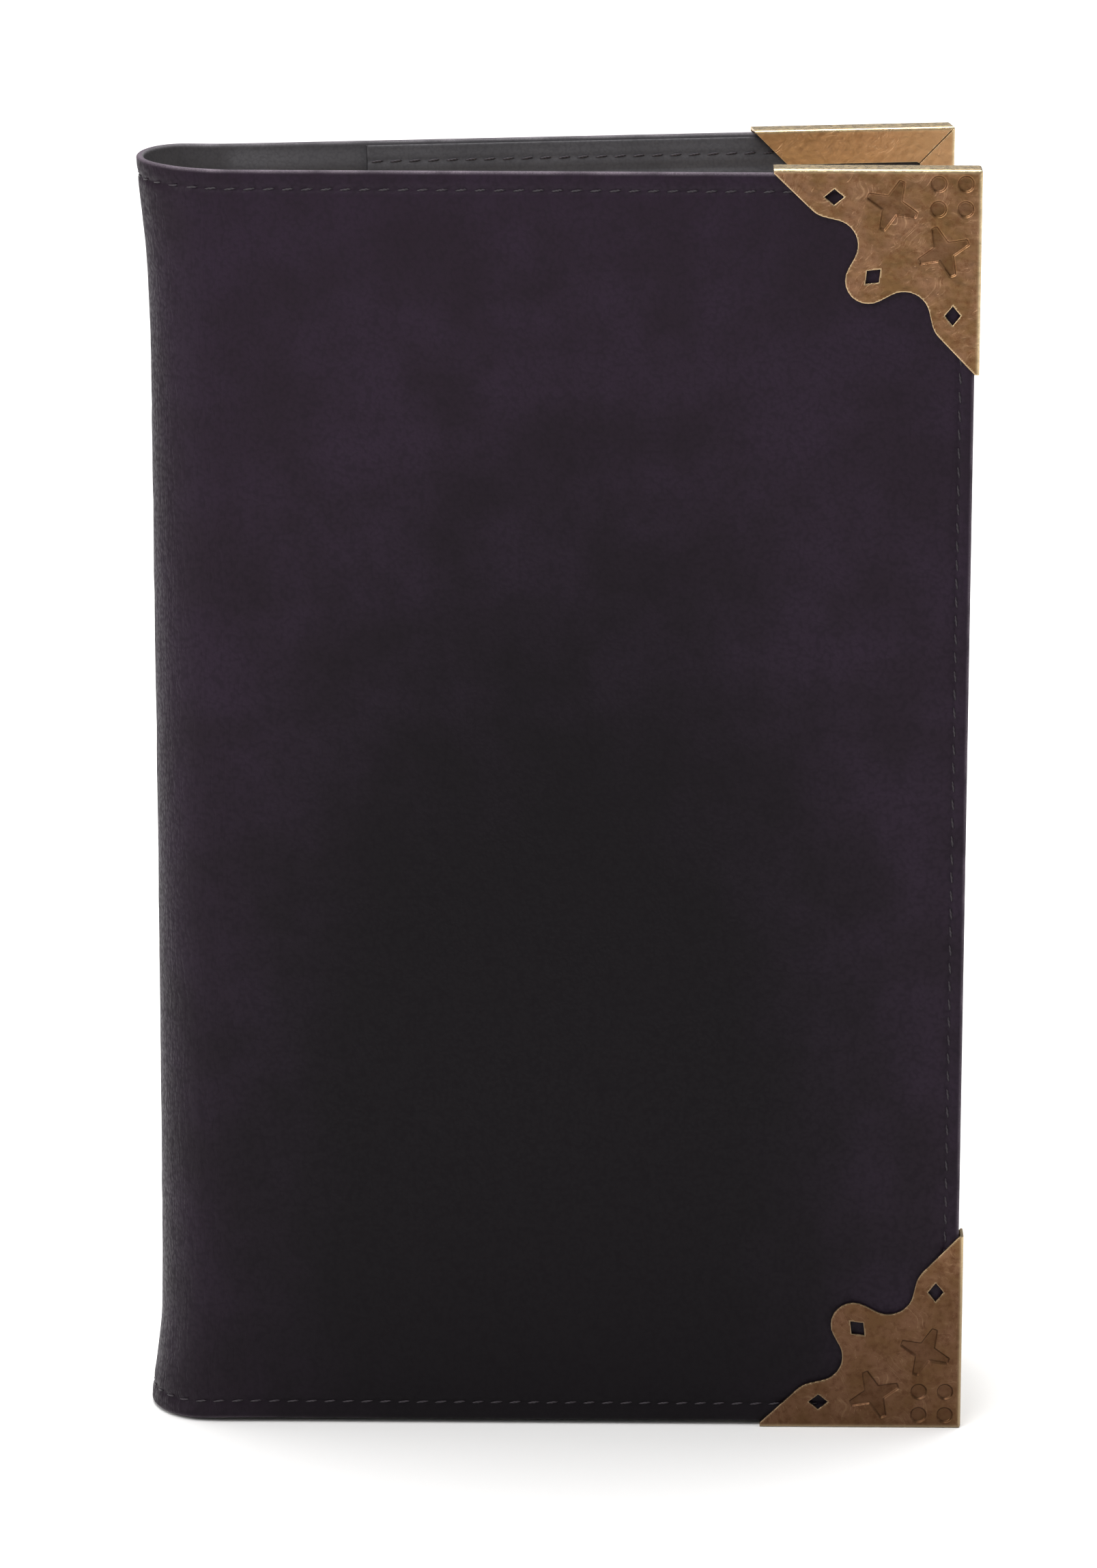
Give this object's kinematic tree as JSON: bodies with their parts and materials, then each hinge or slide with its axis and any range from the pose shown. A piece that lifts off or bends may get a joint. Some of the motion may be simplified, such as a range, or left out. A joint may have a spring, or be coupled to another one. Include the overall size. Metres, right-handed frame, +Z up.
{
  "type": "prayer book",
  "caption": "Prayer book in a slip-on leather jacket with stitched edges and brass corners, standing slightly open; covers and leaves turn.",
  "frame": {"origin": "middle of the footprint, at the surface that the book stands on", "axes": "+Z up the book's height, +X from the spine to the fore-edge, +Y from the front cover to the back cover"},
  "size_m": [0.1402, 0.047, 0.2236],
  "materials": {
    "aubergine_leather": "fine pebbled grain, soft sheen",
    "lining_leather": "smooth matte",
    "grey_board": "matte grey card board",
    "dark_thread": "waxed thread",
    "cover_card": "matte embossed card",
    "spine_cloth": "woven cotton",
    "book_paper": "thin uncoated paper",
    "antique_brass": "worn antique brass with darker patches"
  },
  "bodies": {
    "book_spine": {"spine_leather": "aubergine_leather", "spine_lining": "lining_leather", "spine_head_seam": "dark_thread", "spine_tail_seam": "dark_thread", "card_spine": "cover_card", "spine_gauze": "spine_cloth", "bound_gutter": "book_paper", "head_band": "spine_cloth", "tail_band": "spine_cloth"},
    "front_cover": {"front_leather": "aubergine_leather", "front_board": "grey_board", "front_lining": "lining_leather", "front_sleeve": "aubergine_leather", "front_outer_seam": "dark_thread", "front_sleeve_seam": "dark_thread", "front_sleeve_hem_seam": "dark_thread", "front_card_cover": "cover_card", "front_head_corner": "antique_brass", "front_tail_corner": "antique_brass"},
    "back_cover": {"back_leather": "aubergine_leather", "back_board": "grey_board", "back_lining": "lining_leather", "back_sleeve": "aubergine_leather", "back_outer_seam": "dark_thread", "back_sleeve_seam": "dark_thread", "back_sleeve_hem_seam": "dark_thread", "back_card_cover": "cover_card", "back_head_corner": "antique_brass", "back_tail_corner": "antique_brass"},
    "front_leaves_1": {"front_section_1": "book_paper"},
    "front_leaves_2": {"front_section_2": "book_paper"},
    "front_leaves_3": {"front_section_3": "book_paper"},
    "front_leaves_4": {"front_section_4": "book_paper"},
    "front_leaves_5": {"front_section_5": "book_paper"},
    "front_leaves_6": {"front_section_6": "book_paper"},
    "front_leaves_7": {"front_section_7": "book_paper"},
    "front_leaves_8": {"front_section_8": "book_paper"},
    "back_leaves_1": {"back_section_1": "book_paper"},
    "back_leaves_2": {"back_section_2": "book_paper"},
    "back_leaves_3": {"back_section_3": "book_paper"},
    "back_leaves_4": {"back_section_4": "book_paper"},
    "back_leaves_5": {"back_section_5": "book_paper"},
    "back_leaves_6": {"back_section_6": "book_paper"},
    "back_leaves_7": {"back_section_7": "book_paper"},
    "back_leaves_8": {"back_section_8": "book_paper"}
  },
  "joints": [
    {"name": "front_cover_hinge", "type": "hinge", "parent": "book_spine", "child": "front_cover", "pos_m": [-0.05711, -0.0126, 0], "axis": [0, 0, -1], "range_deg": [-4.4, 85.6]},
    {"name": "back_cover_hinge", "type": "hinge", "parent": "book_spine", "child": "back_cover", "pos_m": [-0.05711, 0.0126, 0], "axis": [0, 0, 1], "range_deg": [-4.4, 85.6]},
    {"name": "front_fold_1", "type": "hinge", "parent": "book_spine", "child": "front_leaves_1", "pos_m": [-0.05213, -0.0005, 0], "axis": [0, 0, -1], "range_deg": [-0.26, 5.04]},
    {"name": "front_fold_2", "type": "hinge", "parent": "book_spine", "child": "front_leaves_2", "pos_m": [-0.05213, -0.0015, 0], "axis": [0, 0, -1], "range_deg": [-0.78, 15.11]},
    {"name": "front_fold_3", "type": "hinge", "parent": "book_spine", "child": "front_leaves_3", "pos_m": [-0.05213, -0.0025, 0], "axis": [0, 0, -1], "range_deg": [-1.3, 25.18]},
    {"name": "front_fold_4", "type": "hinge", "parent": "book_spine", "child": "front_leaves_4", "pos_m": [-0.05213, -0.0035, 0], "axis": [0, 0, -1], "range_deg": [-1.81, 35.25]},
    {"name": "front_fold_5", "type": "hinge", "parent": "book_spine", "child": "front_leaves_5", "pos_m": [-0.05213, -0.0045, 0], "axis": [0, 0, -1], "range_deg": [-2.33, 45.32]},
    {"name": "front_fold_6", "type": "hinge", "parent": "book_spine", "child": "front_leaves_6", "pos_m": [-0.05213, -0.0055, 0], "axis": [0, 0, -1], "range_deg": [-2.85, 55.39]},
    {"name": "front_fold_7", "type": "hinge", "parent": "book_spine", "child": "front_leaves_7", "pos_m": [-0.05213, -0.0065, 0], "axis": [0, 0, -1], "range_deg": [-3.37, 65.46]},
    {"name": "front_fold_8", "type": "hinge", "parent": "book_spine", "child": "front_leaves_8", "pos_m": [-0.05213, -0.0075, 0], "axis": [0, 0, -1], "range_deg": [-3.88, 75.53]},
    {"name": "back_fold_1", "type": "hinge", "parent": "book_spine", "child": "back_leaves_1", "pos_m": [-0.05213, 0.0005, 0], "axis": [0, 0, 1], "range_deg": [-0.26, 5.04]},
    {"name": "back_fold_2", "type": "hinge", "parent": "book_spine", "child": "back_leaves_2", "pos_m": [-0.05213, 0.0015, 0], "axis": [0, 0, 1], "range_deg": [-0.78, 15.11]},
    {"name": "back_fold_3", "type": "hinge", "parent": "book_spine", "child": "back_leaves_3", "pos_m": [-0.05213, 0.0025, 0], "axis": [0, 0, 1], "range_deg": [-1.3, 25.18]},
    {"name": "back_fold_4", "type": "hinge", "parent": "book_spine", "child": "back_leaves_4", "pos_m": [-0.05213, 0.0035, 0], "axis": [0, 0, 1], "range_deg": [-1.81, 35.25]},
    {"name": "back_fold_5", "type": "hinge", "parent": "book_spine", "child": "back_leaves_5", "pos_m": [-0.05213, 0.0045, 0], "axis": [0, 0, 1], "range_deg": [-2.33, 45.32]},
    {"name": "back_fold_6", "type": "hinge", "parent": "book_spine", "child": "back_leaves_6", "pos_m": [-0.05213, 0.0055, 0], "axis": [0, 0, 1], "range_deg": [-2.85, 55.39]},
    {"name": "back_fold_7", "type": "hinge", "parent": "book_spine", "child": "back_leaves_7", "pos_m": [-0.05213, 0.0065, 0], "axis": [0, 0, 1], "range_deg": [-3.37, 65.46]},
    {"name": "back_fold_8", "type": "hinge", "parent": "book_spine", "child": "back_leaves_8", "pos_m": [-0.05213, 0.0075, 0], "axis": [0, 0, 1], "range_deg": [-3.88, 75.53]}
  ],
  "couplings": [
    {"joint": "front_fold_1", "follows": "front_cover_hinge", "ratio": 0.058824},
    {"joint": "front_fold_2", "follows": "front_cover_hinge", "ratio": 0.17647},
    {"joint": "front_fold_3", "follows": "front_cover_hinge", "ratio": 0.29412},
    {"joint": "front_fold_4", "follows": "front_cover_hinge", "ratio": 0.41176},
    {"joint": "front_fold_5", "follows": "front_cover_hinge", "ratio": 0.52941},
    {"joint": "front_fold_6", "follows": "front_cover_hinge", "ratio": 0.64706},
    {"joint": "front_fold_7", "follows": "front_cover_hinge", "ratio": 0.76471},
    {"joint": "front_fold_8", "follows": "front_cover_hinge", "ratio": 0.88235},
    {"joint": "back_fold_1", "follows": "back_cover_hinge", "ratio": 0.058824},
    {"joint": "back_fold_2", "follows": "back_cover_hinge", "ratio": 0.17647},
    {"joint": "back_fold_3", "follows": "back_cover_hinge", "ratio": 0.29412},
    {"joint": "back_fold_4", "follows": "back_cover_hinge", "ratio": 0.41176},
    {"joint": "back_fold_5", "follows": "back_cover_hinge", "ratio": 0.52941},
    {"joint": "back_fold_6", "follows": "back_cover_hinge", "ratio": 0.64706},
    {"joint": "back_fold_7", "follows": "back_cover_hinge", "ratio": 0.76471},
    {"joint": "back_fold_8", "follows": "back_cover_hinge", "ratio": 0.88235}
  ]
}
